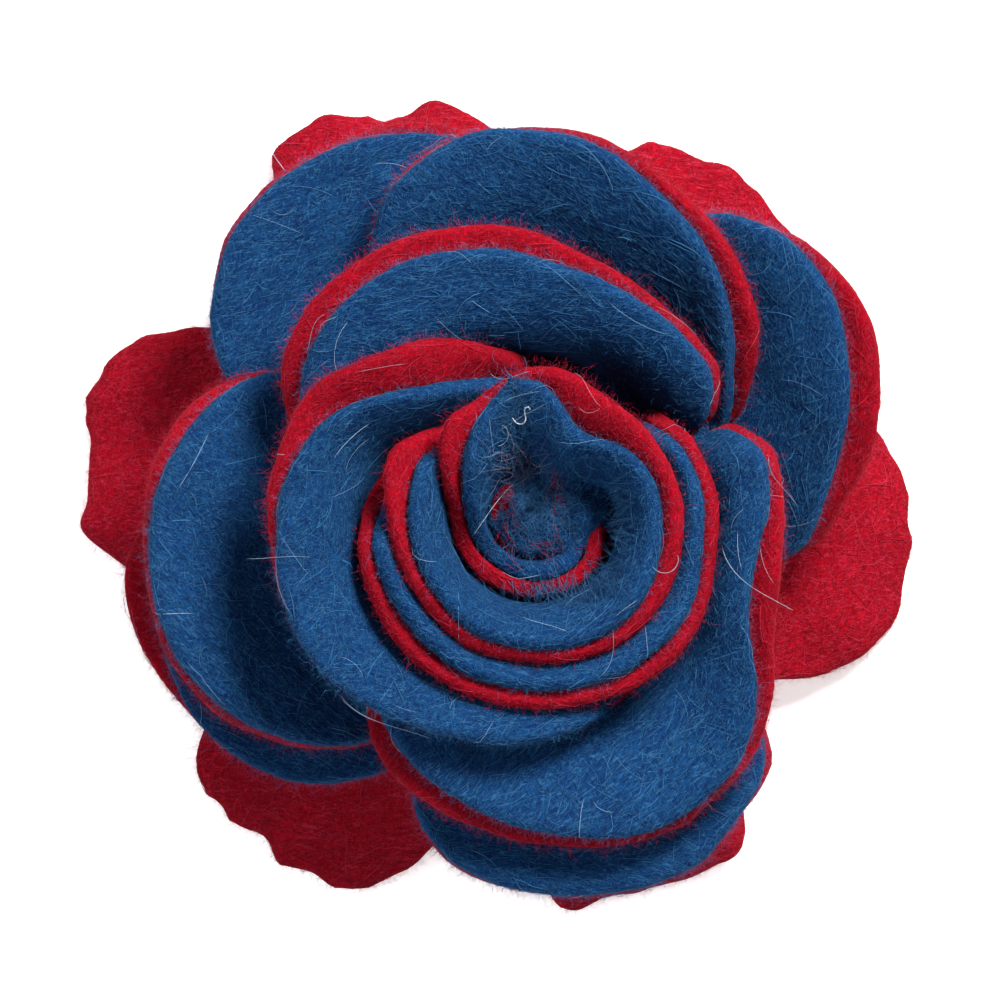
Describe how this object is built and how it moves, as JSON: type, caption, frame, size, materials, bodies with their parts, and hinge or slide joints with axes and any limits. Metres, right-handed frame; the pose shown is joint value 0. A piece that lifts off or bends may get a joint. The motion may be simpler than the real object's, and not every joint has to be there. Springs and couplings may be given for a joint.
{
  "type": "felt flower lapel pin",
  "caption": "Rose of rolled two-ply felt petals, blue in front and red behind, on a wavy red felt layer with a closed bar pin at its back",
  "frame": {"origin": "middle of the bottom of the whole flower, on the surface that it lies on", "axes": "+Z the way the flower faces, +X its right as the picture shows it, +Y its top"},
  "size_m": [0.07, 0.0681, 0.0303],
  "materials": {
    "felt_blue": "fuzzy wool felt",
    "felt_red": "fuzzy wool felt",
    "felt_back": "pressed wool felt",
    "steel": "plated, satin"
  },
  "bodies": {
    "root": {"core_roll_front": "felt_blue", "core_roll_rear": "felt_red", "inner_roll_front": "felt_blue", "inner_roll_rear": "felt_red", "bud_wrap_front": "felt_blue", "bud_wrap_rear": "felt_red", "outer_wrap_front": "felt_blue", "outer_wrap_rear": "felt_red", "spiral_petal_front": "felt_blue", "spiral_petal_rear": "felt_red", "crown_petal_front": "felt_blue", "crown_petal_rear": "felt_red", "fold_petal_front": "felt_blue", "fold_petal_rear": "felt_red", "top_petal_front": "felt_blue", "top_petal_rear": "felt_red", "left_petal_front": "felt_blue", "left_petal_rear": "felt_red", "bottom_petal_front": "felt_blue", "bottom_petal_rear": "felt_red", "corner_petal_front": "felt_blue", "corner_petal_rear": "felt_red", "right_petal_front": "felt_blue", "right_petal_rear": "felt_red", "under_petal_front": "felt_blue", "under_petal_rear": "felt_red", "back_layer": "felt_back", "bar_pin": "steel"}
  },
  "joints": []
}
